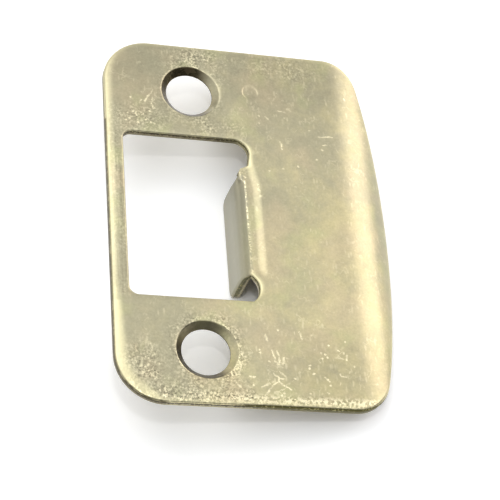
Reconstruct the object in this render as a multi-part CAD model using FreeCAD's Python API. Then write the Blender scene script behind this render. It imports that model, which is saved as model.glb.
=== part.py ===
"""Full-lip strike plate for a door latch, stamped from one piece of sheet.

The frame is the plate's own: the origin is midway between the two screw holes
on the back face, +X runs towards the curved lip, +Y along the plate's length
and +Z out of the front face. All sizes are in millimetres.
"""
import FreeCAD
import Part
import math
import os

from FreeCAD import Vector

# The sheet and the outline of the blank; the width runs from the left edge to
# the tip of the lip, before the punch rolls the front edges over
sheet_thickness = 1.15
plate_height = 57.15
plate_width = 41.4
corner_radius = 6.9
edge_roll = 0.35

# The screw holes, countersunk for flat heads
screw_from_left = 12.7
screw_from_end = 7.925
screw_hole_diameter = 6.8
countersink_depth = 0.95
countersink_angle = 82.0

# The latch opening, with a round relief at each end of the tab
left_bar = 2.45
opening_width = 16.2
screw_to_opening = 7.575
opening_corner_radius = 1.3
relief_radius = 2.25
relief_past_bend = 0.85

# The adjusting tab, lanced from the opening and bent square to the plate
tab_depth = 7.95
tab_inner_radius = 0.15
tab_corner_radius = 1.3
tab_step = 1.85
tab_root_radius = 1.1

# The lip that the latch rides over
lip_reach = 6.4
lip_radius = 9.0
lip_tip_radius = 108.0
lip_corner_radius = 5.7

# How near two points are that count as one, and how far the front surface is
# drawn past the tip before the blank's outline trims it
same_place = 0.01
lip_end_angle = 5.0

# Places that follow from the sizes above
front = sheet_thickness
left = -screw_from_left
tip = left + plate_width
lip_start = tip - lip_reach
half_height = plate_height / 2
screw_y = half_height - screw_from_end
opening_left = left + left_bar
opening_top = screw_y - screw_to_opening
tab_outer_radius = tab_inner_radius + sheet_thickness
tab_face = opening_left + opening_width
tab_back = tab_face + sheet_thickness
tab_bend = tab_face + tab_outer_radius
tab_foot = front - tab_depth
relief_x = tab_bend + relief_past_bend - relief_radius
relief_y = opening_top - relief_radius
relief_turn = math.degrees(math.acos((relief_radius - relief_past_bend) / relief_radius))
tab_root = relief_y - relief_radius * math.sin(math.radians(relief_turn))
beyond = plate_width


def polar(centre, radius, degrees):
    angle = math.radians(degrees)
    return (centre[0] + radius * math.cos(angle), centre[1] + radius * math.sin(angle))


def line(start, end):
    """A straight edge of a flat outline."""
    return (start, end)


def arc(centre, radius, start_angle, end_angle):
    """A round edge of a flat outline, turning from one angle to the other."""
    middle_angle = (start_angle + end_angle) / 2
    return tuple(polar(centre, radius, angle) for angle in (start_angle, middle_angle, end_angle))


def wire(outline, place):
    """The flat outline as a wire in space, with its points put there by place."""
    edges = []
    for points in outline:
        corners = [place(*point) for point in points]
        curve = Part.LineSegment(*corners) if len(corners) == 2 else Part.Arc(*corners)
        edges.append(curve.toShape())
    return Part.Wire(edges)


def upright(outline):
    """A tall prism with an outline seen from the front."""
    base = wire(outline, lambda x, y: Vector(x, y, -beyond))
    return Part.Face(base).extrude(Vector(0, 0, 2 * beyond))


def blank_outline():
    """The plate from the front: two round corners on the left and a bowed lip."""
    left_x = left + corner_radius
    left_y = half_height - corner_radius
    bow_x = tip - lip_tip_radius
    lip_y = half_height - lip_corner_radius
    lip_x = bow_x + math.sqrt((lip_tip_radius - lip_corner_radius) ** 2 - lip_y ** 2)
    bow = math.degrees(math.atan2(lip_y, lip_x - bow_x))
    return [
        line((left_x, half_height), (lip_x, half_height)),
        arc((lip_x, lip_y), lip_corner_radius, 90, bow),
        arc((bow_x, 0), lip_tip_radius, bow, -bow),
        arc((lip_x, -lip_y), lip_corner_radius, -bow, -90),
        line((lip_x, -half_height), (left_x, -half_height)),
        arc((left_x, -left_y), corner_radius, 270, 180),
        line((left, -left_y), (left, left_y)),
        arc((left_x, left_y), corner_radius, 180, 90),
    ]


def opening_outline():
    """The latch opening from the front, closed along the tab's bend line."""
    corner_x = opening_left + opening_corner_radius
    corner_y = opening_top - opening_corner_radius
    return [
        line((corner_x, opening_top), (relief_x, opening_top)),
        arc((relief_x, relief_y), relief_radius, 90, -relief_turn),
        line((tab_bend, tab_root), (tab_bend, -tab_root)),
        arc((relief_x, -relief_y), relief_radius, relief_turn, -90),
        line((relief_x, -opening_top), (corner_x, -opening_top)),
        arc((corner_x, -corner_y), opening_corner_radius, 270, 180),
        line((opening_left, -corner_y), (opening_left, corner_y)),
        arc((corner_x, corner_y), opening_corner_radius, 180, 90),
    ]


def bent_sheet():
    """The front surface, flat and then curved, trimmed to the blank and given
    its thickness square to itself, so that the lip's cut edge leans as bent
    sheet does."""
    centre = (lip_start, front - lip_radius)
    section = wire(
        [line((left, front), (lip_start, front)), arc(centre, lip_radius, 90, lip_end_angle)],
        lambda x, z: Vector(x, -plate_height, z),
    )
    surface = section.extrude(Vector(0, 2 * plate_height, 0))
    shell = Part.Shell(surface.common(upright(blank_outline())).Faces)
    shell.reverse()
    return shell.makeOffsetShape(-sheet_thickness, same_place / 100, fill=True)


def on_front(point):
    """Whether a point lies on the front surface, flat or curved."""
    if point.x <= lip_start:
        return abs(point.z - front) < same_place
    reach = math.hypot(point.x - lip_start, point.z - front + lip_radius)
    return abs(reach - lip_radius) < same_place


def punched_rim(plate):
    """The front edges that the punch rolls over: all but the two bend lines."""
    rim = []
    for edge in plate.Edges:
        middle = edge.valueAt((edge.FirstParameter + edge.LastParameter) / 2)
        from_bend = min(abs(middle.x - lip_start), abs(middle.x - tab_bend))
        bend_line = from_bend < same_place and abs(middle.y) < same_place
        if on_front(middle) and not bend_line:
            rim.append(edge)
    return rim


def tab():
    """The adjusting tab: a tight bend and a straight leg, cut to its side outline."""
    centre = (tab_bend, front - tab_outer_radius)
    section = wire(
        [
            arc(centre, tab_outer_radius, 90, 180),
            line((tab_face, centre[1]), (tab_face, tab_foot)),
            line((tab_face, tab_foot), (tab_back, tab_foot)),
            line((tab_back, tab_foot), (tab_back, centre[1])),
            arc(centre, tab_inner_radius, 180, 90),
            line((tab_bend, 0), (tab_bend, front)),
        ],
        lambda x, z: Vector(x, -tab_root, z),
    )
    strip = Part.Face(section).extrude(Vector(0, 2 * tab_root, 0))
    side = Part.Face(wire(tab_outline(), lambda y, z: Vector(opening_left, y, z)))
    return strip.common(side.extrude(Vector(plate_width, 0, 0)))


def tab_outline():
    """The tab from the opening: round free corners, and a step at its upper end."""
    low = -tab_root
    high = tab_root - tab_step
    corner_z = tab_foot + tab_corner_radius
    root_z = front - tab_root_radius
    root_y = high + tab_root_radius
    return [
        line((low, front), (low, corner_z)),
        arc((low + tab_corner_radius, corner_z), tab_corner_radius, 180, 270),
        line((low + tab_corner_radius, tab_foot), (high - tab_corner_radius, tab_foot)),
        arc((high - tab_corner_radius, corner_z), tab_corner_radius, 270, 360),
        line((high, corner_z), (high, root_z)),
        arc((root_y, root_z), tab_root_radius, 180, 90),
        line((root_y, front), (low, front)),
    ]


def screw_punch(y):
    """The tool for one screw hole: a round punch under a countersinking cone."""
    radius = screw_hole_diameter / 2
    slope = math.tan(math.radians(countersink_angle / 2))
    cone_height = countersink_depth + sheet_thickness
    cone_foot = Vector(0, y, front - countersink_depth)
    punch = Part.makeCylinder(radius, 2 * beyond, Vector(0, y, -beyond))
    cone = Part.makeCone(radius, radius + cone_height * slope, cone_height, cone_foot)
    return punch.fuse(cone)


def strike_plate():
    """The whole plate: blank, opening, rolled edges, tab and screw holes."""
    plate = bent_sheet().cut(upright(opening_outline()))
    plate = plate.makeFillet(edge_roll, punched_rim(plate))
    plate = plate.fuse(tab()).removeSplitter()
    for y in (screw_y, -screw_y):
        plate = plate.cut(screw_punch(y))
    return plate.Solids[0]


os.makedirs("parts", exist_ok=True)
plate = strike_plate()
plate.exportStep("parts/strike_plate.step")
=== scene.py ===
import math

import bpy
import numpy as np
from mathutils import Matrix, Quaternion, Vector
from mathutils.geometry import delaunay_2d_cdt


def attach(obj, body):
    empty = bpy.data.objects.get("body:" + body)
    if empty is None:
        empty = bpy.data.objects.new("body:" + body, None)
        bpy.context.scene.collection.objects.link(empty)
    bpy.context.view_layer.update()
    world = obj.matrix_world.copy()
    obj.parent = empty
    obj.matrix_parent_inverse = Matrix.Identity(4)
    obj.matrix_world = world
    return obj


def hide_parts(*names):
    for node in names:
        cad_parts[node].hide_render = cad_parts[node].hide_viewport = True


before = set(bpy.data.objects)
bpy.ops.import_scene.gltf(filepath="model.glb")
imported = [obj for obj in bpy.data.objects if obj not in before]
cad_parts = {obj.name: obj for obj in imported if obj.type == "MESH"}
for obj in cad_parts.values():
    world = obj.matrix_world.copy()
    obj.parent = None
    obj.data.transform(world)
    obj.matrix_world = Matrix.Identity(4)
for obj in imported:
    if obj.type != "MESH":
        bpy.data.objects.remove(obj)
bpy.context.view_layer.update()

# The strike plate: one sheet of brass with an antique finish, punched, lanced and
# bent in a press, and held to a door frame by two countersunk screws. It starts as
# a flat blank, with sizes in millimetres seen from the front.
sheet_thickness = 1.15
half_height = 28.575
left_edge = -12.7
corner_radius = 6.9
lip_start = 22.3
lip_tip = 28.68
lip_tip_radius = 108.0
lip_corner_radius = 5.7
opening_left = -10.25
opening_top = 13.075
opening_bottom = -12.92
opening_corner_radius = 1.3
relief_centre = (5.85, 10.825)
relief_radius = 2.25
lower_relief_centre = (5.62, -10.85)
lower_relief_radius = 2.5
lower_relief_peak = (6.8, -8.72)
lower_relief_turn = 58
tab_bend = 7.25
tab_face = 5.95
tab_lower_y = -8.8
tab_lower_root = 6.5
tab_upper_y = 7.25
tab_foot_z = -6.8
tab_corner_radius = 1.3
lug_corners = ((7.82, 9.0), (6.63, 8.38), (6.14, 7.4), (5.85, tab_upper_y))
screw_y = 20.65
screw_hole_radius = 3.4
countersink_depth = 0.95
countersink_slope = math.tan(math.radians(41.0))
outline_step = 0.3


def straight(*corners):
    """Points along straight cuts from corner to corner, without the last corner."""
    cuts = []
    for start, end in zip(corners, corners[1:]):
        count = max(1, round(math.dist(start, end) / outline_step))
        share = np.arange(count)[:, None] / count
        cuts.append(np.array(start) + share * (np.array(end) - np.array(start)))
    return np.concatenate(cuts)


def rounded(centre, radius, start_angle, end_angle):
    """Points along a round cut from one angle to the other, without the last one."""
    length = radius * abs(math.radians(end_angle - start_angle))
    count = max(4, round(length / outline_step))
    angle = np.radians(start_angle + (end_angle - start_angle) * np.arange(count) / count)
    return np.stack([centre[0] + radius * np.cos(angle), centre[1] + radius * np.sin(angle)], 1)


# The blank's edge runs anticlockwise, so that the metal is always on its left.
bow_x = lip_tip - lip_tip_radius
lip_corner_y = half_height - lip_corner_radius
lip_corner_x = bow_x + math.sqrt((lip_tip_radius - lip_corner_radius) ** 2 - lip_corner_y ** 2)
bow_angle = math.degrees(math.atan2(lip_corner_y, lip_corner_x - bow_x))
corner_x = left_edge + corner_radius
corner_y = half_height - corner_radius
blank_edge = np.concatenate([
    straight((corner_x, -half_height), (lip_corner_x, -half_height)),
    rounded((lip_corner_x, -lip_corner_y), lip_corner_radius, -90, -bow_angle),
    rounded((bow_x, 0), lip_tip_radius, -bow_angle, bow_angle),
    rounded((lip_corner_x, lip_corner_y), lip_corner_radius, bow_angle, 90),
    straight((lip_corner_x, half_height), (corner_x, half_height)),
    rounded((corner_x, corner_y), corner_radius, 90, 180),
    straight((left_edge, corner_y), (left_edge, -corner_y)),
    rounded((corner_x, -corner_y), corner_radius, 180, 270),
])

# The opening's edge goes round the tab too, which lies flat in the opening here
# and is measured along its own surface from the bend line. The bend's face turns
# sharply over a crest and then slowly, and its back is a tight round.
quarter_turn = math.pi / 2
crest_turn = math.radians(38)
crest_radius = 0.27
inner_radius = 0.15


def running_total(steps):
    """The sum of the steps so far, from nothing at the start."""
    return np.concatenate([[0], np.cumsum(steps)])


bend_radius = (tab_bend - tab_face - crest_radius * math.sin(crest_turn)) / (1 - math.sin(crest_turn))
turns = np.concatenate([np.linspace(0, crest_turn, 12), np.linspace(crest_turn, quarter_turn, 40)[1:]])
turned = np.diff(turns)
middle_turns = (turns[1:] + turns[:-1]) / 2
radii = np.where(turns[1:] <= crest_turn, crest_radius, bend_radius)
bend_s = running_total(radii * turned)
bend_x = tab_bend - running_total(radii * np.cos(middle_turns) * turned)
bend_z = sheet_thickness - running_total(radii * np.sin(middle_turns) * turned)
bend_length = bend_s[-1]
bend_foot_z = bend_z[-1]
tab_end = tab_bend - bend_length - (bend_foot_z - tab_foot_z)

inner_arc = inner_radius * quarter_turn
inner_s = np.linspace(0, bend_length, 40)
inner_way = inner_s * (inner_arc - inner_radius - bend_foot_z) / bend_length
inner_turn = np.clip(inner_way / inner_radius, 0, quarter_turn)
inner_x = tab_bend - inner_radius * np.sin(inner_turn)
inner_z = inner_radius * np.cos(inner_turn) - inner_radius - np.clip(inner_way - inner_arc, 0, None)

# Beside the lug the bend is squarer: flat first, and then a plain round
square_radius = 0.7
square_flat = tab_bend - tab_face - square_radius
square_turn = np.linspace(0, quarter_turn, 20)
square_round_x = tab_bend - square_flat - square_radius * np.sin(square_turn)
square_round_z = sheet_thickness - square_radius * (1 - np.cos(square_turn))
square_x = np.concatenate([[tab_bend], square_round_x, [tab_face]])
square_z = np.concatenate([[sheet_thickness], square_round_z, [bend_foot_z]])
square_s = running_total(np.hypot(np.diff(square_x), np.diff(square_z)))
square_s *= bend_length / square_s[-1]

tab_corner_x = tab_end + tab_corner_radius
tab_corner_top = tab_upper_y - tab_corner_radius
tab_corner_low = tab_lower_y + tab_corner_radius
opening_x = opening_left + opening_corner_radius
top_y = opening_top - opening_corner_radius
low_y = opening_bottom + opening_corner_radius
low_turn = math.degrees(math.asin((opening_bottom - lower_relief_centre[1]) / lower_relief_radius))
low_relief_x = lower_relief_centre[0] + lower_relief_radius * math.cos(math.radians(low_turn))
relief_right = relief_centre[0] + relief_radius
opening_edge = np.concatenate([
    straight((opening_x, opening_top), (relief_centre[0], opening_top)),
    rounded(relief_centre, relief_radius, 90, 0),
    straight((relief_right, relief_centre[1]), *lug_corners, (tab_corner_x, tab_upper_y)),
    rounded((tab_corner_x, tab_corner_top), tab_corner_radius, 90, 180),
    straight((tab_end, tab_corner_top), (tab_end, tab_corner_low)),
    rounded((tab_corner_x, tab_corner_low), tab_corner_radius, 180, 270),
    straight((tab_corner_x, tab_lower_y), (tab_lower_root, tab_lower_y), lower_relief_peak),
    rounded(lower_relief_centre, lower_relief_radius, lower_relief_turn, low_turn),
    straight((low_relief_x, opening_bottom), (opening_x, opening_bottom)),
    rounded((opening_x, low_y), opening_corner_radius, 270, 180),
    straight((opening_left, low_y), (opening_left, top_y)),
    rounded((opening_x, top_y), opening_corner_radius, 180, 90),
])

mouth_radius = screw_hole_radius + countersink_depth * countersink_slope
screw_edges = [rounded((0, y), mouth_radius, 360, 0) for y in (screw_y, -screw_y)]


def blend_along(values, blur):
    """Values at the points of a closed cut, without jumps along it."""
    for _ in range(blur):
        values = (np.roll(values, 1, 0) + 2 * values + np.roll(values, -1, 0)) / 4
    return values


def into_metal(edge, blur):
    """The direction into the metal at each point of a cut, turned smoothly at corners."""
    along = np.roll(edge, -1, 0) - np.roll(edge, 1, 0)
    along /= np.linalg.norm(along, axis=1)[:, None]
    along = blend_along(along, blur)
    along /= np.linalg.norm(along, axis=1)[:, None]
    return np.stack([-along[:, 1], along[:, 0]], 1)


# How the punch rolls the front edge over: a wide shallow slope that ends in a
# small round. The left side is drawn over most. The round stays bright for this
# share of the way down the roll, and below it the edge is painted dark as shade.
x, y = blank_edge.T
at_left, at_lip = x < left_edge + 2, x > lip_start
low_left = (y < -17) & (x < -7)
low_right = (y < 5 - half_height) & (x > 4)
roll_width = np.select([low_left, at_left, low_right, at_lip, y > 0], [1.9, 1.4, 1.2, 0.7, 1.0], 0.8)
roll_depth = np.select([low_left, at_left, at_lip, y > 0], [0.22, 0.2, 0.03, 0.1], 0.06)
edge_round = np.select([at_left, at_lip & ~low_right, low_right], [0.3, 0.26, 0.5], 0.26)
bright_reach = np.where(low_right, 0.12, 0.75)
blank_roll = [blend_along(sizes, 60) for sizes in (roll_width, roll_depth, edge_round, bright_reach)]

# The same four sizes round the opening, each given for the opening's own rim, for
# the tab and for the tab's lower side
x, y = opening_edge.T
on_tab = (x < 6.7) & (x > tab_end - 0.01) & (y < tab_upper_y + 0.4) & (y > tab_lower_y - 0.01)
tab_low_side = on_tab & (y < tab_lower_y + 0.05) & (x > tab_corner_x + 0.4)
opening_roll = []
for rim_size, tab_size, low_size in (
        (0.75, 0.72, 1.2), (0.07, 0.02, 0.02), (0.2, 0.3, 0.5), (0.75, 0.75, 0.3)):
    sizes = np.select([tab_low_side, on_tab], [low_size, tab_size], rim_size)
    opening_roll.append(blend_along(sizes, 5))

roll_steps = (1.0, 0.85, 0.7, 0.56, 0.44)
roll_power = 1.7
round_angles = (90, 68, 50, 34, 20, 8, 0)
round_shade_fade = 0.4
wall_steps = ((0.0, 0.2), (0.018, 0.32), (0.025, 0.8), (0.0, 1.0))
back_steps = ((0.03, 1.012), (0.12, 1.0), (0.4, 1.0))


def edge_section(roll):
    """The cut edge's section, from the flat front round to the flat back: the
    distance into the metal, the depth under the front face, and the share of the
    punched wall passed at each step."""
    width, depth, radius, reach = roll
    level = np.zeros(len(width))
    steps = []
    for share in roll_steps:
        steps.append((width * share, depth * (1 - share) ** roll_power, level))
    for angle in round_angles:
        away = radius * (1 - math.cos(math.radians(angle)))
        under = radius * (1 - math.sin(math.radians(angle)))
        under = under + depth * (1 - away / width) ** roll_power
        past_bright = np.clip(under / (radius + depth) - reach, 0, None)
        steps.append((away, under, past_bright * round_shade_fade))
    for away, share in wall_steps:
        under = radius + depth + (sheet_thickness - radius - depth) * share
        steps.append((level + away, under, level + 0.1 + 0.9 * share))
    for away, share in back_steps:
        steps.append((level + away, level + sheet_thickness * share, level + 1))
    steps.append((width, level + sheet_thickness, level + 1))
    return steps


def screw_section(count):
    """The countersunk hole's section in the same three measures, outwards from its
    mouth: the flat front, the soft rim, the cone, the punched wall and the back."""
    reach = screw_hole_radius - mouth_radius
    steps = [
        (1.1, 0, 0), (0.8, 0.004, 0), (0.5, 0.014, 0), (0.28, 0.034, 0), (0.12, 0.07, 0),
        (0.0, 0.13, 0), (-0.07, 0.2, 0), (reach * 0.35, 0.14 + countersink_depth * 0.32, 0),
        (reach * 0.7, 0.1 + countersink_depth * 0.66, 0), (reach * 0.97, countersink_depth, 0.02),
        (reach, countersink_depth + 0.03, 0.3), (reach, 1.06, 0.6), (reach + 0.03, sheet_thickness, 1),
        (-0.3, sheet_thickness, 1), (0.3, sheet_thickness, 1), (1.1, sheet_thickness, 1),
    ]
    return [[np.full(count, float(value)) for value in step] for step in steps]


rings = []
for edge, roll, blur in ((blank_edge, blank_roll, 2), (opening_edge, opening_roll, 3)):
    inward = into_metal(edge, blur)
    rings.append([(edge + inward * away[:, None], under, cut) for away, under, cut in edge_section(roll)])
for edge in screw_edges:
    inward = into_metal(edge, 0)
    rings.append([(edge + inward * away[:, None], under, cut)
                  for away, under, cut in screw_section(len(edge))])


# The metal between the edges: an even net of points, finer over the tab's bend and
# finest at the flat lug beside it.
def inside(points, loop):
    """Which points lie within a closed loop."""
    ax, ay = loop.T
    bx, by = np.roll(loop, -1, 0).T
    px, py = points[:, :1], points[:, 1:]
    crosses = ((ay > py) != (by > py)) & (px < (bx - ax) * (py - ay) / (by - ay + 1e-12) + ax)
    return crosses.sum(1) % 2 == 1


def in_metal(points):
    """Which points lie in the sheet, clear of the rolled edges."""
    outer, *cuts = inner_loops
    kept = inside(points, outer)
    for cut in cuts:
        kept &= ~inside(points, cut)
    return kept


def in_zone(points, zone):
    """Which points lie in a zone with this left, right, bottom and top."""
    x, y = points.T
    return (x >= zone[0]) & (x <= zone[1]) & (y >= zone[2]) & (y <= zone[3])


def nearest(points, corners):
    """How far each point is from the closest corner."""
    found = np.zeros(len(points))
    batch = 2000
    for start in range(0, len(points), batch):
        gap = points[start:start + batch, None] - corners[None]
        found[start:start + batch] = np.sqrt((gap ** 2).sum(2).min(1))
    return found


def net_of(step_x, step_y, x_range, y_range):
    """A net of points in rows, every other row set off by half a step."""
    rows = []
    for k, row in enumerate(np.arange(*y_range, step_y)):
        along = np.arange(x_range[0] + (k % 2) * step_x / 2, x_range[1], step_x)
        rows.append(np.stack([along, np.full(len(along), row)], 1))
    return np.concatenate(rows)


dimples = ((8.95, 21.43), (-8.7, -20.93))
dimple_radius = 1.2
dimple_depth = 0.06
dimple_rings = (0.3, 0.6, 0.8, 0.88, 0.95, 1.02, 1.1, 1.28)
clear_of_dimple = dimple_radius + 0.55
clear_of_edge = 0.14
net_step = 0.42
same_point = 1e-6
bend_zone = (4.9, 9.6, -9.6, 9.9)
lug_zone = (5.9, 7.6, 6.5, 7.9)
wide_net = net_of(net_step, net_step * 0.87, (left_edge, lip_tip), (-half_height, half_height))
wide_net = wide_net[~in_zone(wide_net, bend_zone)]
bend_net = net_of(0.16, 0.3, bend_zone[:2], bend_zone[2:])
bend_net = bend_net[~in_zone(bend_net, lug_zone)]
lug_net = net_of(0.13, 0.1, lug_zone[:2], lug_zone[2:])
nets = [bend_net, lug_net]
for centre in dimples:
    wide_net = wide_net[np.hypot(*(wide_net - centre).T) > clear_of_dimple]
    nets.append(np.array([centre]))
    nets += [rounded(centre, dimple_radius * share, 0, 360) for share in dimple_rings]
inner_loops = [ring[0][0] for ring in rings]
net = np.concatenate([wide_net] + nets)
net = net[in_metal(net)]
net = net[nearest(net, np.concatenate(inner_loops)) > clear_of_edge]

flat_points = np.concatenate(inner_loops + [net])
loop_edges, first = [], 0
for loop in inner_loops:
    loop_edges += [(first + k, first + (k + 1) % len(loop)) for k in range(len(loop))]
    first += len(loop)
made = delaunay_2d_cdt([Vector(p) for p in flat_points], loop_edges, [], 1, same_point, True)
source = [ids[0] for ids in made[3]]
triangles = np.array([[source[k] for k in face] for face in made[2]])
triangles = triangles[in_metal(flat_points[triangles].mean(1))]


# The press then bends the blank: the lip over a wide roller whose curve comes on
# slowly, and the tab square to the plate over a sharp one, which draws the face
# down in a step beside the bend.
lip_onset = 20.3
lip_tip_angle = 0.735
lip_growth = 1.5
lip_x = np.linspace(lip_onset, lip_tip + 0.5, 400)
lip_lean = lip_tip_angle * ((lip_x - lip_onset) / (lip_tip - lip_onset)) ** lip_growth
lip_drop = running_total(np.tan((lip_lean[1:] + lip_lean[:-1]) / 2) * np.diff(lip_x))
step_start, step_end = 9.55, 8.0
step_depth = 0.27
step_back = 4.0
step_middle_y, step_half_length, step_fade = 0.2, 10.4, 2.6
step_shift, shift_y, shift_length = 0.6, 5.0, 4.0
dimple_rim, dimple_slope = 1.08, 0.26
square_start_y = 5.9
lug_top_y = 8.6
lug_fold = 0.24
lug_root = 0.3


def eased(value):
    """Nothing below zero, one above one, and smooth in between."""
    value = np.clip(value, 0, 1)
    return value * value * (3 - 2 * value)


def shoulder(x, y):
    """How far the press draws the front face down, in a step along the tab's bend
    that stands a little further left at its upper end."""
    shift = step_shift * eased((y - shift_y) / shift_length)
    down = eased((step_start - shift - x) / (step_start - step_end))
    far_end = np.clip((tab_bend - x) / step_back, 0, 1)
    along = eased((step_half_length - abs(y - step_middle_y)) / step_fade)
    return step_depth * down * (1 - far_end) * along * (x > 0)


def dimple(x, y):
    """How deep the face is at the two small round dimples."""
    deep = 0 * x
    for centre in dimples:
        share = np.hypot(x - centre[0], y - centre[1]) / dimple_radius
        deep = deep + dimple_depth * eased((dimple_rim - share) / dimple_slope)
    return deep


def lug_crease(x):
    """How far up the plate the crease between the flat lug and the bent tab lies."""
    return 7.27 - 0.45 * (x - 6.6)


def shape(points, under):
    """Where a point of the flat blank, this far under the front face, ends up."""
    x, y = points.T
    under = under + (shoulder(x, y) + dimple(x, y)) * np.clip(1 - under / sheet_thickness, 0, 1)
    out = np.stack([x, y, sheet_thickness - under], 1)
    lip = x > lip_onset
    lean = np.interp(x, lip_x, lip_lean)
    out[lip, 0] = (x - under * np.sin(lean))[lip]
    out[lip, 2] = (sheet_thickness - np.interp(x, lip_x, lip_drop) - under * np.cos(lean))[lip]

    tab = (x < tab_bend) & (x > tab_end - 1) & (y > tab_lower_y - 0.4) & (y < lug_top_y)
    tab &= ~((y > tab_upper_y + 0.3) & (x < 5.9))
    length = np.clip(tab_bend - x, 0, bend_length)
    beyond = np.clip(tab_bend - x - bend_length, 0, None)
    depth = under / sheet_thickness
    square = eased(y - square_start_y)
    bent = []
    for face, squarer, back in ((bend_x, square_x, inner_x), (bend_z, square_z, inner_z)):
        outer = np.interp(length, bend_s, face) * (1 - square) + np.interp(length, square_s, squarer) * square
        bent.append(outer * (1 - depth) + np.interp(length, inner_s, back) * depth)
    held = 1 - eased((lug_crease(x) - y) / lug_fold + 0.5)
    held *= eased((x - tab_face) / lug_root)
    out[tab, 0] = (out[:, 0] * held + bent[0] * (1 - held))[tab]
    out[tab, 2] = (out[:, 2] * held + (bent[1] - beyond) * (1 - held))[tab]
    return out


# The rings of the four cuts and the net between them, front and back, make one
# closed mesh. The rings come in this order: outline, opening, two screw holes.
millimetre = 0.001
FRONT, BACK = 0, 1
steps_on_back = (4, 4, 3, 3)
cone_steps = range(5, 13)
vertices, faces, face_finish, flat, walls, cones = [], [], [], [], [], []
front_ids, back_ids = [], []
base = 0
for number, ring in enumerate(rings):
    count = len(ring[0][0])
    first_back = len(ring) - steps_on_back[number]
    for step, (points, under, cut) in enumerate(ring):
        on_cone = number >= 2 and step in cone_steps
        vertices.append(shape(points, under))
        flat.append(points)
        walls.append(cut)
        cones.append(np.full(count, float(on_cone)))
        if step:
            a = base + (step - 1) * count + np.arange(count)
            b = base + step * count + np.arange(count)
            quads = np.stack([a, np.roll(a, -1), np.roll(b, -1), b], 1)
            faces += quads[:, ::-1].tolist()
            face_finish += [FRONT if step < first_back else BACK] * count
    front_ids.append(base + np.arange(count))
    back_ids.append(base + (len(ring) - 1) * count + np.arange(count))
    base += count * len(ring)
for ids, under, cut in ((front_ids, 0.0, 0.0), (back_ids, sheet_thickness, 1.0)):
    ids.append(base + np.arange(len(net)))
    flat.append(net)
    walls.append(np.full(len(net), cut))
    cones.append(np.zeros(len(net)))
    vertices.append(shape(net, np.full(len(net), under)))
    base += len(net)
front_ids, back_ids = np.concatenate(front_ids), np.concatenate(back_ids)
faces += front_ids[triangles].tolist()
faces += back_ids[triangles][:, ::-1].tolist()
face_finish += [FRONT] * len(triangles) + [BACK] * len(triangles)
vertices = np.concatenate(vertices) * millimetre
flat, walls, cones = np.concatenate(flat), np.concatenate(walls), np.concatenate(cones)

mesh = bpy.data.meshes.new("strike_plate_sheet")
mesh.from_pydata(vertices.tolist(), [], faces)
mesh.update()
mesh.polygons.foreach_set("material_index", face_finish)
mesh.shade_smooth()
mesh.set_sharp_from_angle(angle=math.radians(40))
plate = bpy.data.objects.new("strike_plate_sheet", mesh)
bpy.context.scene.collection.objects.link(plate)

# Where the finish has worn, and where light and shade are painted: the rolled rims are
# rubbed bright, partly as painted highlight, and the face is grained and flecked round
# the screw holes, along both ends and on the tab's crest. Each kind of wear or of
# painted light and shade is a share from none to all at every point of the mesh.
x, y = flat.T


def near(distance, reach):
    """One close by, fading to nothing over this reach."""
    return np.exp(-np.clip(distance, 0, None) ** 2 / reach ** 2)


def patch(place_x, place_y, reach, wide=1.0, tall=1.0):
    """A round or oval patch on the face, strongest in its middle."""
    return near(np.hypot((x - place_x) / wide, (y - place_y) / tall), reach)


far_away = 9.0
rim = np.zeros(len(flat))
to_outline = np.full(len(flat), far_away)
start = 0
for number, (ring, reach) in enumerate(zip(rings, (blank_roll[0], opening_roll[0], 0.8, 0.8))):
    lowest_round = ring[len(roll_steps) + len(round_angles) - 1][0]
    for points, under, cut in ring:
        here = slice(start, start + len(points))
        if number < 2:
            gap = nearest(points, lowest_round)
        else:
            gap = np.linalg.norm(points - ring[0][0].mean(0), axis=1) - mouth_radius
        if number == 0:
            to_outline[here] = gap
        rim[here] = np.clip(1.1 - gap / (1.1 * reach), 0, 1)
        start += len(points)
at_hole = (abs(x) < 5.2) & (abs(abs(y) - screw_y) < 5.2)
at_opening = (x > opening_left - 0.8) & (x < 9) & (abs(y) < opening_top + 0.8)
at_left = (x < left_edge + 2) | ((x < -7) & (y < -17))
at_low_end = y < 1.5 - half_height
# How bright each rim is painted: rubbed brass, partly a painted highlight, strongest round the lower-left
# corner and beside the reliefs
beside_relief = np.maximum(
    near(np.hypot(x - 7.9, y - 10.3) - 1.3, 1.0), near(np.hypot(x - 7.7, y + 9.9) - 0.9, 0.8))
rim_brightening = np.select(
    [at_hole, at_opening, at_left, at_low_end, y > 0],
    [0.12, 0.2 + 0.6 * beside_relief, 0.5 + 0.35 * (y < -14), 0.5, 0.45], 0.4)
tab_rim = at_opening & (x < 6.9) & (x > tab_end - 1) & (y > tab_lower_y - 0.2) & (y < 7.6)
rim *= np.where(tab_rim, 0.0, rim_brightening)

# Bright beads of worn brass along the tab's crest, wider and fainter down its lower half, and
# along the lower end, and painted highlights on the step beside the tab and on the lug's crease and upper rim
low_crest = eased((0.5 - y) / 3)
beads_and_highlights = near(abs(x - 7.16), 0.13 + 0.12 * low_crest) * (1 - 0.55 * low_crest) * (y > -8.6) * (y < 6.4)
on_step = (y > 3.5) & (y < 6.3)
beads_and_highlights = np.maximum(beads_and_highlights, 0.6 * near(abs(x - 9.05 - 0.15 * (5.5 - y)), 0.2) * on_step)
on_crease = (x > 6.55) & (x < 7.45)
beads_and_highlights = np.maximum(beads_and_highlights, 1.4 * near(abs(y - lug_crease(x)), 0.11) * on_crease)
on_lug_rim = (x > 6.6) & (x < 7.85)
beads_and_highlights = np.maximum(beads_and_highlights, 1.2 * near(abs(y - 8.4 - 0.52 * (x - 6.63)) - 0.05, 0.1) * on_lug_rim)
beads_and_highlights = np.maximum(beads_and_highlights, 0.95 * near(abs(y + 27.6), 0.55) * eased((x + 1) / 6) * (x < 25))
crest_line = near(abs(x - 7.13), 0.18) * (abs(y + 1.2) < 7.6)

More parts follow.
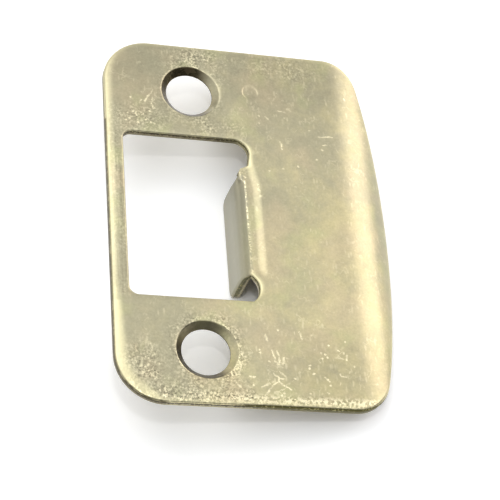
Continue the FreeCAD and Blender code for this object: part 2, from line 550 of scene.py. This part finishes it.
# Leathery grain: round the screw holes, along the lower end, down the left bar, and
# in patches given by their place, reach, stretch along the width and strength
to_upper = np.hypot(x, y - screw_y) - mouth_radius
to_lower = np.hypot(x, y + screw_y) - mouth_radius
grain = 0.2 * near(to_upper, 1.0) + (0.55 + 0.4 * (x > 2)) * near(to_lower, 1.2)
grain += 0.9 * near(y + half_height, np.where(x < 6, 2.4, 1.1))
grain += 0.13 * near(x - left_edge - 1.9, 0.6) * (abs(y) < 13)
for place_x, place_y, reach, wide, amount in (
        (1.5, 26.2, 2.8, 1.3, 0.6), (-8.0, 15.0, 2.2, 1.8, 0.5), (-8.5, -24.0, 3.2, 1.0, 0.62),
        (6.85, 7.9, 0.6, 1.0, 0.8), (3.0, 15.0, 1.6, 2.0, 0.5), (14.0, 26.0, 2.2, 2.0, 0.3)):
    grain += amount * patch(place_x, place_y, reach, wide)
grain = np.where(cones > 0, 0.05, np.clip(grain, 0, 1))

# Patches with more scratches than elsewhere, by their place, reach and strength
scratched = np.zeros(len(flat))
for place_x, place_y, reach, amount in (
        (-6.0, 19.1, 1.5, 1.0), (10.0, -21.8, 1.3, 1.0), (9.5, -25.3, 2.2, 1.0), (19.5, -21.0, 1.6, 1.0),
        (7.1, -20.5, 0.9, 1.0), (5.3, -20.5, 1.2, 0.8), (16.2, -21.0, 1.3, 0.9), (17.0, -15.5, 2.0, 0.7),
        (12.8, -16.5, 2.2, 0.7), (18.6, -24.2, 1.2, 0.9), (13.0, -25.5, 2.5, 0.6), (13.8, 18.5, 2.0, 0.6),
        (21.2, 12.3, 2.0, 0.4), (-8.5, 16.0, 2.2, 0.6), (8.0, 15.2, 2.4, 0.6), (4.0, -16.0, 3.0, 0.5)):
    scratched = np.maximum(scratched, 0.6 * amount * patch(place_x, place_y, reach))
scratched = np.where(cones > 0, 0.0, scratched)

# How pale the punched walls are, as painted shade: palest on the tab, dark along the lower right
tab_wall = at_opening & (y > tab_lower_y - 0.4) & (y < 8.7) & (x > tab_end - 1) & (x < tab_bend)
pale = np.select([at_hole, tab_wall, at_opening & (x > 6.9), at_opening], [0.2, 0.9, 0.5, 0.2], 0.3)
low_edge = ~at_hole & ~at_opening & (y < -half_height + 7)
pale = np.where(low_edge, 0.75 - 0.7 * eased((x - 4) / 7), pale)
# A painted highlight on the burr along the back edge of the lower relief's right wall
burr_highlight = (at_opening & (x > 6.9) & (y < -9.3) & (y > -12.0) & (walls > 0.97)) * 1.0

# Painted shade: brown in the countersinks, fading out towards their right side, and a
# thin line under the left outline and down the near side of each countersink
over_hole = np.where(at_hole, x / mouth_radius, 0)
countersink_shade = np.where(at_hole & (walls < 0.9), 1 - eased((over_hole - 0.25) / 0.6), 0)
countersink_shade *= np.where(y > 0, 1.0, 0.55)
# Painted shade in a thin line under the left outline and down the near side of each countersink
edge_shade_line = near(to_outline, 0.16) * (0.85 - 0.35 * eased((walls - 0.3) / 0.4)) * ((x < -6) & (y < 15))
near_side_x, near_side_y = -0.55, -0.83
up_from_hole = y - np.where(y > 0, screw_y, -screw_y)
towards = (near_side_x * x + near_side_y * up_from_hole) / np.maximum(np.hypot(x, up_from_hole), 0.1)
near_side_shade = eased((towards - 0.1) / 0.5) * (cones > 0) * np.where(y > 0, 0.4, 0.85)
edge_shade_line = np.maximum(edge_shade_line, near_side_shade)

# Painted shade: a greyer tone than the face's down the tab under its bend and on the lip's tip,
# and a darker one on the back near the tab and the opening
tab_shade = eased((7.1 - x) / 0.2) * (0.7 + 0.3 * eased((6.5 - x) / 1.4))
tab_shade = np.where(tab_wall & (y < 7.3), tab_shade, 0)
tip_shade = 0.5 * eased((x - 26.3) / 1.2) * near(y - 1, 13.0) * (walls < 0.1)
tab_shade = np.maximum(tab_shade, tip_shade)
# Painted shade on the back near the tab and the opening
back_shade = near(abs(x - 11.0) - 2, 4.0) * near(abs(y) - 9, 4.0)

# Shifts of the face's tone, lighter where above nothing and darker where below it: lighter
# in two patches, darker towards the upper corners, the lower right and the bottom, and
# painted shade over the start of the lip's highlight
tone_shift = 0.06 * patch(11.5, 8, 1.0, 4, 5) + 0.08 * patch(5.8, 18, 1.0, 1.6, 2.4)
tone_shift -= 0.05 * patch(21.5, -5, 1.0, 2.5, 9) + 0.05 * patch(2, -26, 1.0, 4, 2)
tone_shift -= 0.14 * eased((4 - x) / 12) * eased((y - 12) / 12)
tone_shift -= 0.03 * eased((1 - x) / 8) * eased(-y / 14)
tone_shift -= 0.16 * eased((x - 5) / 12) * eased((-13 - y) / 11)
tone_shift -= 0.12 * eased((x - 2) / 8) * eased((y - 14) / 10)

finish = {
    "rim": rim,
    "beads_and_highlights": beads_and_highlights,
    "crest_line": crest_line,
    "grain": grain,
    "scratched": scratched,
    "wall": walls,
    "pale": pale,
    "burr_highlight": burr_highlight,
    "cone": cones,
    "countersink_shade": countersink_shade,
    "edge_shade_line": edge_shade_line,
    "tab": tab_shade,
    "back_shade": back_shade,
    "tone_shift": tone_shift,
}
for name, values in finish.items():
    layer = mesh.attributes.new(name, "FLOAT", "POINT")
    layer.data.foreach_set("value", np.ascontiguousarray(values, np.float32))


def new_material(name):
    material = bpy.data.materials.new(name)
    material.use_nodes = True
    return material, material.node_tree.nodes, material.node_tree.links


material, nodes, links = new_material("antique_brass_face")


def node(kind, inputs=(), **settings):
    """A node with its settings, and its inputs by name as values or as outputs."""
    made = nodes.new("ShaderNode" + kind)
    for key, value in settings.items():
        setattr(made, key, value)
    for key, value in dict(inputs).items():
        if isinstance(value, bpy.types.NodeSocket):
            links.new(value, made.inputs[key])
        else:
            made.inputs[key].default_value = value
    return made


def maths(operation, a, b=0.0):
    return node("Math", {0: a, 1: b}, operation=operation).outputs[0]


def ramp(value, low, high, to_low=0.0, to_high=1.0):
    """The value's share of the way from low to high, eased at both ends."""
    return node("MapRange", {"Value": value, "From Min": low, "From Max": high, "To Min": to_low,
                             "To Max": to_high}, interpolation_type="SMOOTHSTEP").outputs[0]


def mixed(share, a, b):
    """Colour a, with this share of colour b."""
    return node("Mix", {0: share, 6: a, 7: b}, data_type="RGBA").outputs[2]


def attribute(name):
    return node("Attribute", attribute_name=name).outputs["Fac"]


place = node("TexCoord").outputs["Object"]
in_mm = node("Mapping", {"Vector": place, "Scale": (1000, 1000, 1000)}).outputs[0]
brushed = node("Mapping", {"Vector": place, "Scale": (2600, 130, 1000)}).outputs[0]


def noise(vector, scale, detail=2.0, rough=0.5, distortion=0.0):
    return node("TexNoise", {"Vector": vector, "Scale": scale, "Detail": detail, "Roughness": rough,
                             "Distortion": distortion}).outputs[0]


def warped(vector, scale, reach):
    """The same place, pushed about by up to this reach so that marks turn ragged."""
    push = node("TexNoise", {"Vector": vector, "Scale": scale, "Detail": 2.0}).outputs[1]
    push = node("VectorMath", {0: push, 1: (0.5, 0.5, 0.5)}, operation="SUBTRACT").outputs[0]
    return node("VectorMath", {0: push, 1: (reach, reach, reach), 2: vector},
                operation="MULTIPLY_ADD").outputs[0]


def cells(vector, scale, feature="F1"):
    return node("TexVoronoi", {"Vector": vector, "Scale": scale}, feature=feature)


def marks(vector, scale, share, size):
    """Small spots in this share of the cells of a net."""
    net = cells(vector, scale)
    picked = maths("SUBTRACT", share, node("SeparateColor", {0: net.outputs["Color"]}).outputs[0])
    spot = ramp(net.outputs["Distance"], size, size * 0.4)
    return maths("MULTIPLY", spot, ramp(picked, -0.02, 0.03))


rim, grain, wall_share, pale = (attribute(name) for name in ("rim", "grain", "wall", "pale"))
cone, countersink_shade, tab_shade_share = (attribute(name) for name in ("cone", "countersink_shade", "tab"))
beads_and_highlights, scratched, crest_line = attribute("beads_and_highlights"), attribute("scratched"), attribute("crest_line")
place_parts = node("SeparateXYZ", {0: in_mm})
across, height = place_parts.outputs[0], place_parts.outputs[1]


def scribbles(vector, scale, width):
    """Thin winding lines, where a cloud passes through its middle value."""
    away = maths("ABSOLUTE", maths("SUBTRACT", noise(vector, scale, 2.0, 0.5), 0.5))
    return ramp(away, width, width * 0.3)


def dashes(turn, share, size):
    """Short straight scrapes in this share of the cells of a stretched net."""
    laid = node("Mapping", {"Vector": in_mm, "Rotation": (0, 0, math.radians(turn)),
                            "Scale": (2.6, 0.95, 1.0)}).outputs[0]
    return marks(warped(laid, 0.8, 0.5), 1.0, share, size)


# Single scrapes and nicks through the patina, in millimetres on the face
scrapes = (
    (8.22, -17.95, 8.39, -18.86), (13.13, -17.31, 13.4, -18.28), (8.98, -20.32, 9.21, -21.31),
    (9.21, -21.31, 9.35, -21.94), (9.35, -21.94, 9.72, -22.35), (9.58, -20.39, 9.96, -21.16),
    (9.96, -21.16, 9.88, -22.13), (10.55, -21.39, 10.56, -21.98), (10.56, -21.98, 10.27, -22.36),
    (19.59, -20.49, 19.52, -21.14), (11.77, -24.25, 12.2, -24.47), (16.13, -23.95, 16.73, -24.49),
    (18.42, -23.34, 18.55, -23.65), (18.55, -23.65, 19.25, -23.77), (8.95, -23.77, 9.6, -24.31),
    (9.6, -24.31, 9.56, -24.88), (9.83, -23.5, 10.58, -23.99), (9.56, -24.88, 10.35, -25.57),
    (10.35, -25.57, 11.21, -26), (9.56, -24.88, 8.44, -25.78), (8.44, -25.78, 7.88, -26.66),
    (7.88, -26.66, 7.34, -27.29), (7.05, -25.85, 8.29, -25.28), (9.55, -24.47, 10.25, -24.43),
    (8.25, -23.28, 8.48, -23.53), (-5.67, 20.26, -6.12, 19.4), (-6.12, 19.4, -6.9, 18.28),
    (-5.9, 17.92, -5.64, 17.14), (-5.64, 17.14, -5.35, 17.17), (-8.23, 16.18, -8.18, 15.68),
    (13.02, 18.64, 14.15, 18.5), (11.02, 17.38, 11.3, 17.07), (12.96, 13.29, 13.12, 12.03),
    (18.78, 14.77, 20.94, 14.87), (19.42, 13.38, 20.03, 13.44), (4.33, -23.5, 4.53, -22.61),
    (4.61, -20.53, 4.83, -21.41), (4.83, -21.41, 5.37, -21.6), (3.64, -25.44, 4.15, -26),
    (5.45, -24.32, 6.27, -24.42),
)
nicks = (
    (10.05, -17.25), (16.2, -16.33), (14.74, -17.65), (7.21, -20.3), (7.29, -20.74), (8.49, -22.02),
    (18.48, -19.8), (19.15, -20.24), (19.6, -18.39), (17.11, -19.12), (16.02, -20.32),
    (16.52, -20.5), (16.04, -21.1), (16.77, -20.98), (20.5, -22.1), (19.77, -23.03),
    (14.16, -22.29), (14.06, -22.74), (14.55, -23.5), (16.81, -25.08), (16.41, -26.31),
    (13.87, -26.49), (12.54, -23.41), (9.83, -26.96), (10.21, -26.58), (-6.9, 18.28),
    (-7.44, 18.31), (-6.28, 16.56), (-9.43, 16), (-8.95, 18.74), (-8.62, 16.31), (-9.14, 15.15),
    (-9.74, 14.75), (-8.01, 14.51), (-6.83, 15.1), (-7.15, 15.99), (-6.12, 14.71), (9.98, 17.53),
    (9.95, 16.24), (17.49, 15.68), (19.18, 12.55), (18.23, 10.8), (15.3, 9.4), (13, 8.76),
    (10.89, 8.19), (8.72, -25.02), (6.04, -25.6), (23.58, 21.9),
)
on_face = node("Mapping", {"Vector": warped(in_mm, 1.9, 0.4), "Scale": (1, 1, 0)}).outputs[0]
closest = far_away
for x1, y1, x2, y2 in scrapes:
    run = Vector((x2 - x1, y2 - y1, 0))
    away = node("VectorMath", {0: on_face, 1: (x1, y1, 0)}, operation="SUBTRACT").outputs[0]
    along = node("VectorMath", {0: away, 1: run / run.length_squared}, operation="DOT_PRODUCT")
    share = node("Clamp", {"Value": along.outputs["Value"]}).outputs[0]
    beside = node("VectorMath", {0: run, "Scale": share}, operation="SCALE").outputs[0]
    gap = node("VectorMath", {0: away, 1: beside}, operation="DISTANCE").outputs["Value"]
    closest = maths("MINIMUM", gap, closest)
for place_x, place_y in nicks:
    gap = node("VectorMath", {0: on_face, 1: (place_x, place_y, 0)}, operation="DISTANCE").outputs["Value"]
    closest = maths("MINIMUM", maths("SUBTRACT", gap, 0.05), closest)

# Clouds of thinner and thicker patina, and faint brushing along the plate. The tone is
# also painted lighter towards the bottom and darker towards the left, as painted light and shade
thick_patina = (0.425, 0.39, 0.262, 1)
thin_patina = (0.60, 0.53, 0.30, 1)
rosy_patina = (0.585, 0.487, 0.315, 1)
green_patina = (0.50, 0.50, 0.262, 1)
clouds = noise(in_mm, 0.085, 4.0, 0.55, 0.6)
mottle = noise(in_mm, 0.42, 4.0, 0.6, 0.4)
streaks = noise(brushed, 1.0, 3.0, 0.6)
slope = ramp(height, 26.0, -26.0)
tone = maths("ADD", maths("MULTIPLY", clouds, 0.9), maths("MULTIPLY", mottle, 0.55))
tone = maths("ADD", tone, maths("MULTIPLY", streaks, 0.1))
tone = maths("ADD", tone, maths("MULTIPLY", slope, 0.2))
tone = maths("ADD", tone, maths("MULTIPLY", ramp(across, 9.0, -6.0), -0.24))
tone = ramp(tone, 0.6, 1.24)
colour = mixed(tone, thick_patina, thin_patina)
rosy = ramp(noise(warped(in_mm, 0.2, 3.0), 0.14, 2.0, 0.5), 0.45, 0.7)
green = ramp(noise(warped(in_mm, 0.3, 2.0), 0.2, 2.0, 0.5), 0.52, 0.72)
colour = mixed(maths("MULTIPLY", rosy, 0.5), colour, rosy_patina)
colour = mixed(maths("MULTIPLY", green, 0.4), colour, green_patina)

# The stamped face stands up in a fine grain, with ragged bright marks on its
# high places and darker pits between them. The grain's light and shade are also painted
# into the colour as shading, lighter on its high places and darker in its pits
bared_brass = (0.92, 0.83, 0.55, 1)
fine = noise(in_mm, 3.2, 2.0, 0.6)
lumps = noise(warped(in_mm, 1.2, 1.2), 0.9, 3.0, 0.55)
islands = noise(in_mm, 0.38, 2.0, 0.5)
grain = maths("MULTIPLY", grain, ramp(islands, 0.36, 0.56, 0.3, 1.0))
leather = cells(warped(in_mm, 1.6, 0.5), 1.9, "DISTANCE_TO_EDGE").outputs["Distance"]
leather = ramp(leather, 0.02, 0.22)
shading = maths("MULTIPLY", maths("SUBTRACT", fine, 0.5), maths("ADD", maths("MULTIPLY", grain, 2.9), 0.3))
crazed = maths("MULTIPLY", maths("SUBTRACT", leather, 0.7), maths("MULTIPLY", grain, 0.42))
broad = maths("ADD", maths("MULTIPLY", grain, 0.3), 0.22)
shading = maths("ADD", shading, maths("MULTIPLY", maths("SUBTRACT", lumps, 0.5), broad))
shading = maths("ADD", shading, crazed)
shading = maths("ADD", shading, attribute("tone_shift"))
on_bar = maths("MULTIPLY", ramp(across, -9.7, -10.3), ramp(height, 14.0, 11.0))
on_bar = maths("MULTIPLY", on_bar, ramp(height, -15.0, -12.0))
bar_streaks = maths("MULTIPLY", maths("SUBTRACT", streaks, 0.5), maths("MULTIPLY", on_bar, 0.9))
shading = maths("ADD", shading, bar_streaks)
colour = node("VectorMath", {0: colour, "Scale": maths("ADD", shading, 1.0)}, operation="SCALE").outputs[0]
sparse = ramp(islands, 0.46, 0.56)
some = maths("MAXIMUM", maths("MULTIPLY", grain, 0.8), maths("MULTIPLY", sparse, 0.2))
some = maths("MAXIMUM", some, scratched)
peaks = maths("MULTIPLY", maths("MULTIPLY", ramp(fine, 0.53, 0.62), ramp(lumps, 0.40, 0.55)), grain)
patches = ramp(noise(in_mm, 0.6, 2.0, 0.5), 0.47, 0.55)
scraped = maths("MULTIPLY", maths("MULTIPLY", scribbles(warped(in_mm, 0.5, 1.5), 0.55, 0.02), patches), some)
dashed = maths("MAXIMUM", dashes(-20.0, 0.07, 0.6), dashes(-68.0, 0.05, 0.6))
dashed = maths("MAXIMUM", dashed, dashes(35.0, 0.05, 0.6))
dashed = maths("MAXIMUM", dashed, marks(warped(in_mm, 2.0, 0.5), 1.1, 0.10, 0.26))
dashed = maths("MULTIPLY", dashed, maths("ADD", maths("MULTIPLY", some, 0.6), 0.1))
bead_cloud = maths("ADD", maths("MULTIPLY", noise(in_mm, 1.9, 1.0, 0.5), 0.5), maths("MULTIPLY", fine, 0.5))
bead_share = ramp(bead_cloud, 0.47, 0.55)
bead_marks_and_highlights = maths("MULTIPLY", bead_share, beads_and_highlights)
single = maths("MULTIPLY", ramp(closest, 0.17, 0.07), ramp(fine, 0.36, 0.54, 0.3, 1.0))
single = maths("MULTIPLY", single, ramp(noise(in_mm, 1.1, 1.0), 0.35, 0.6, 0.4, 1.0))
flecks = maths("MAXIMUM", maths("MAXIMUM", peaks, scraped), maths("MAXIMUM", dashed, bead_marks_and_highlights))
flecks = maths("MAXIMUM", flecks, single)
colour = mixed(flecks, colour, bared_brass)

# Painted shade: a greyer tone down the tab and between the beads of its crest, and brown in
# the countersinks, nearly black in patches at the top of the upper one
tab_shade_grey = (0.30, 0.285, 0.215, 1)
countersink_shade_brown = (0.115, 0.088, 0.048, 1)
deep_shade_black = (0.022, 0.017, 0.006, 1)
# Painted shade between the beads of the crest, added to the tab's painted shade
shade_between_beads = maths("MULTIPLY", crest_line, maths("SUBTRACT", 0.8, bead_share))
tab_shade_share = maths("MAXIMUM", tab_shade_share, shade_between_beads)
colour = mixed(maths("MULTIPLY", tab_shade_share, 0.85), colour, tab_shade_grey)
countersink_shade = maths("MULTIPLY", maths("MULTIPLY", cone, countersink_shade), ramp(lumps, 0.35, 0.6, 1.0, 0.86))
colour = mixed(countersink_shade, colour, countersink_shade_brown)
countersink_deep_shade = maths("MULTIPLY", ramp(countersink_shade, 0.7, 0.95), ramp(height, 10.0, 12.0))
countersink_deep_shade = maths("MULTIPLY", countersink_deep_shade, ramp(lumps, 0.44, 0.5))
colour = mixed(maths("MULTIPLY", countersink_deep_shade, 0.85), colour, deep_shade_black)

# Rims rubbed through to bright brass, partly as painted highlight, over punched walls:
# painted shade under the rim, torn metal below it with some painted glints, a painted
# highlight on the burr at the lower relief, and painted shade in a thin line down the
# left outline and the countersinks' near sides
rim_bright_brass = (0.80, 0.73, 0.44, 1)
left_wall_shade = (0.045, 0.033, 0.012, 1)
right_wall_shade = (0.105, 0.095, 0.035, 1)
tab_wall_shade = (0.17, 0.16, 0.09, 1)
torn_metal = (0.42, 0.38, 0.25, 1)
glinting = (0.62, 0.56, 0.27, 1)
burr_highlight_colour = (0.9, 0.8, 0.66, 1)
edge_shade = (0.05, 0.038, 0.018, 1)
rim_bright_share = maths("MULTIPLY", ramp(maths("ADD", rim, maths("MULTIPLY", mottle, 0.25)), 0.2, 0.75), 0.55)
colour = mixed(rim_bright_share, colour, rim_bright_brass)
# The walls are painted dark, partly as patina and partly as shade, darkest under the rim
ragged = maths("MULTIPLY", wall_share, maths("MULTIPLY", fine, 2.0))
wall = ramp(ragged, 0.01, 0.1)
torn = maths("MULTIPLY", ramp(ragged, 0.42, 0.62), maths("ADD", maths("MULTIPLY", lumps, 0.5), pale))
# Painted shade on the walls under the rim, darkest on the left and palest on the tab
wall_shade = mixed(ramp(across, 3.0, 8.0), left_wall_shade, right_wall_shade)
wall_shade = mixed(ramp(pale, 0.8, 0.88), wall_shade, tab_wall_shade)
wall_colour = mixed(torn, wall_shade, torn_metal)
glints = maths("MULTIPLY", ramp(fine, 0.56, 0.64), ramp(wall_share, 0.7, 0.1))
wall_colour = mixed(maths("MULTIPLY", glints, 0.6), wall_colour, glinting)
# Painted highlight on the burr at the lower relief
wall_colour = mixed(attribute("burr_highlight"), wall_colour, burr_highlight_colour)
colour = mixed(wall, colour, wall_colour)
# Painted shade in a thin line down the left outline and the countersinks' near sides
dark_line = maths("MULTIPLY", attribute("edge_shade_line"), ramp(lumps, 0.36, 0.52, 0.6, 1.0))
colour = mixed(dark_line, colour, edge_shade)

# Rougher where the patina is thick, on the walls and on the crest's lower half, and
# smoother on the bright marks
rough = maths("ADD", 0.27, maths("MULTIPLY", mottle, 0.12))
rough = maths("SUBTRACT", rough, maths("MULTIPLY", flecks, 0.06))
rough = maths("ADD", rough, maths("MULTIPLY", wall, 0.14))
soft_crest = maths("MULTIPLY", crest_line, ramp(height, 2.0, -3.0))
rough = maths("ADD", rough, maths("MULTIPLY", soft_crest, 0.25))

# The face's fine relief, in millimetres
swell = noise(in_mm, 0.16, 2.0, 0.5)
grain_height = maths("MULTIPLY", fine, maths("ADD", maths("MULTIPLY", grain, 0.03), 0.003))
grain_height = maths("ADD", grain_height, maths("MULTIPLY", leather, maths("MULTIPLY", grain, 0.012)))
lump_height = maths("MULTIPLY", lumps, maths("ADD", maths("MULTIPLY", grain, 0.04), 0.008))
relief = maths("ADD", grain_height, maths("MULTIPLY", swell, 0.03))
relief = maths("ADD", relief, lump_height)
relief = maths("ADD", relief, maths("MULTIPLY", streaks, 0.0004))
relief = maths("ADD", relief, maths("MULTIPLY", flecks, 0.008))


def make_metal(colour, rough, relief):
    """Gives the material's metal its colour, roughness and relief in millimetres."""
    bump = node("Bump", {"Height": relief, "Strength": 1.0, "Distance": millimetre})
    shader = nodes["Principled BSDF"]
    shader.inputs["Metallic"].default_value = 1.0
    links.new(colour, shader.inputs["Base Color"])
    links.new(rough, shader.inputs["Roughness"])
    links.new(bump.outputs[0], shader.inputs["Normal"])


make_metal(colour, rough, relief)
mesh.materials.append(material)

# The back never sees the polishing wheel, and keeps its dull dark patina.
back_dark = (0.30, 0.26, 0.155, 1)
back_light = (0.46, 0.40, 0.25, 1)
back_mark = (0.66, 0.58, 0.34, 1)
back_shade_colour = (0.06, 0.045, 0.02, 1)
material, nodes, links = new_material("antique_brass_back")
place = node("TexCoord").outputs["Object"]
in_mm = node("Mapping", {"Vector": place, "Scale": (1000, 1000, 1000)}).outputs[0]
blotches = noise(in_mm, 0.12, 4.0, 0.6, 0.8)
fine = noise(in_mm, 2.2, 3.0, 0.6)
tone = maths("ADD", maths("MULTIPLY", blotches, 0.8), maths("MULTIPLY", fine, 0.3))
colour = mixed(ramp(tone, 0.35, 0.75), back_dark, back_light)
spots = marks(warped(in_mm, 1.4, 0.8), 0.9, 0.05, 0.4)
colour = mixed(maths("MULTIPLY", spots, 0.6), colour, back_mark)
# Painted shade: the back is much darker near the tab
colour = mixed(maths("MULTIPLY", attribute("back_shade"), 0.85), colour, back_shade_colour)
rough = maths("ADD", 0.36, maths("MULTIPLY", fine, 0.2))
relief = maths("ADD", maths("MULTIPLY", fine, 0.012), maths("MULTIPLY", blotches, 0.03))
make_metal(colour, rough, relief)
mesh.materials.append(material)

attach(plate, "root")
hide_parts("strike_plate")

# The white table that the plate lies on. The plate stands on the foot of its tab
# and on the tip of its lip, so in the plate's own frame the table leans. What is
# seen of it is lifted a little, and from below it is clear.
foot = Vector((tab_face, 0, tab_foot_z)) * millimetre
tip = Vector((27.8, 0, -2.28)) * millimetre
table_half = 1.2
lean = Matrix.Rotation(-math.atan2(tip.z - foot.z, tip.x - foot.x), 4, "Y")
corners = [Vector((a * table_half, b * table_half, 0)) for a, b in ((-1, -1), (1, -1), (1, 1), (-1, 1))]
table_mesh = bpy.data.meshes.new("table")
table_mesh.from_pydata([lean @ corner + foot for corner in corners], [], [(0, 1, 2, 3)])
table = bpy.data.objects.new("table", table_mesh)
bpy.context.scene.collection.objects.link(table)
table_material, nodes, links = new_material("white_table")
white = nodes["Principled BSDF"]
white.inputs["Base Color"].default_value = (0.9, 0.9, 0.9, 1)
white.inputs["Roughness"].default_value = 0.8
white.inputs["Specular IOR Level"].default_value = 0.0
more_white = node("BsdfDiffuse", {"Color": (0.26, 0.26, 0.26, 1)})
lifted = node("AddShader", {0: white.outputs[0], 1: more_white.outputs[0]})
path = node("LightPath").outputs
seen = maths("MAXIMUM", path["Is Camera Ray"], path["Is Glossy Ray"])
seen = maths("MAXIMUM", seen, path["Is Transmission Ray"])
from_above = node("MixShader", {0: seen, 1: white.outputs[0], 2: lifted.outputs[0]})
clear = node("BsdfTransparent")
below = node("NewGeometry").outputs["Backfacing"]
surface = node("MixShader", {0: below, 1: from_above.outputs[0], 2: clear.outputs[0]})
links.new(surface.outputs[0], nodes["Material Output"].inputs["Surface"])
table_mesh.materials.append(table_material)

# Plain soft studio light: a pale surround that glows from behind, above, the left
# and the far right, with three lamps.
world = bpy.data.worlds.new("studio")
world.use_nodes = True
nodes, links = world.node_tree.nodes, world.node_tree.links
outwards = node("TexCoord").outputs["Generated"]


def glow(direction, low, high, faintest, brightest):
    """The surround's light, rising from faintest to brightest towards a direction."""
    aim = Vector(direction).normalized()
    towards = node("VectorMath", {0: outwards, 1: aim}, operation="DOT_PRODUCT").outputs["Value"]
    return ramp(towards, low, high, faintest, brightest)


brightness = glow((-0.2, 0.8, 0.6), -0.3, 0.6, 0.14, 0.55)
for direction, low, high, brightest in (
        ((0, -0.1, 1.0), 0.55, 0.95, 0.75), ((-1.0, 0.15, 0.15), 0.35, 1.0, 0.5),
        ((0, 1.0, 0.12), 0.6, 1.0, 0.5), ((0.85, 0.47, 0.2), 0.72, 1.0, 0.24)):
    brightness = maths("ADD", brightness, glow(direction, low, high, 0.0, brightest))
background = nodes["Background"]
background.inputs["Color"].default_value = (0.985, 1.0, 1.015, 1)
links.new(brightness, background.inputs["Strength"])
bpy.context.scene.world = world


def lamp(name, place, target, size, watts, colour=(1, 1, 1), roll=0):
    """A flat lamp of this width and height, turned to face its target."""
    data = bpy.data.lights.new(name, "AREA")
    data.shape = "RECTANGLE"
    data.size, data.size_y = size
    data.energy = watts
    data.color = colour
    lamp_object = bpy.data.objects.new(name, data)
    bpy.context.scene.collection.objects.link(lamp_object)
    lamp_object.location = place
    lamp_object.rotation_mode = "QUATERNION"
    aim = (Vector(place) - Vector(target)).to_track_quat("Z", "Y")
    lamp_object.rotation_quaternion = aim @ Quaternion((0, 0, 1), math.radians(roll))


# A compact lamp on the near left draws the shadow's edge, a wide warm one on the far
# right lights the lip, and a wide one on the far left softens the rest
lamp("key", (-0.086, -0.081, 0.340), (0.008, 0, 0), (0.02, 0.02), 0.11)
lamp("lip_soft", (0.32, 0.216, 0.245), (0.02, 0, 0), (0.39, 0.235), 0.53, colour=(1, 0.93, 0.92), roll=-38)
lamp("top_soft", (-0.16, 0.22, 0.36), (0.0, 0, 0), (0.32, 0.28), 0.34)

# The camera stands low on the left and looks down at the face, as in the photograph.
# Its right, up and back directions are given in the plate's own frame.
camera_right = (0.96083, -0.0714, 0.2678)
camera_up = (-0.06936, 0.87356, 0.48175)
camera_back = (-0.26833, -0.48145, 0.83439)
camera_place = Vector((-0.059747, -0.124805, 0.208764))
camera_data = bpy.data.cameras.new("camera")
camera_data.sensor_width = 36.0
camera_data.lens = 129.436
camera_data.dof.use_dof = False
camera_data.clip_start = 0.005
camera_data.clip_end = 10.0
camera = bpy.data.objects.new("camera", camera_data)
view = Matrix((camera_right, camera_up, camera_back)).transposed().to_4x4()
view.translation = camera_place
camera.matrix_world = view
bpy.context.scene.collection.objects.link(camera)
bpy.context.scene.camera = camera
bpy.context.scene.view_settings.view_transform = "Standard"
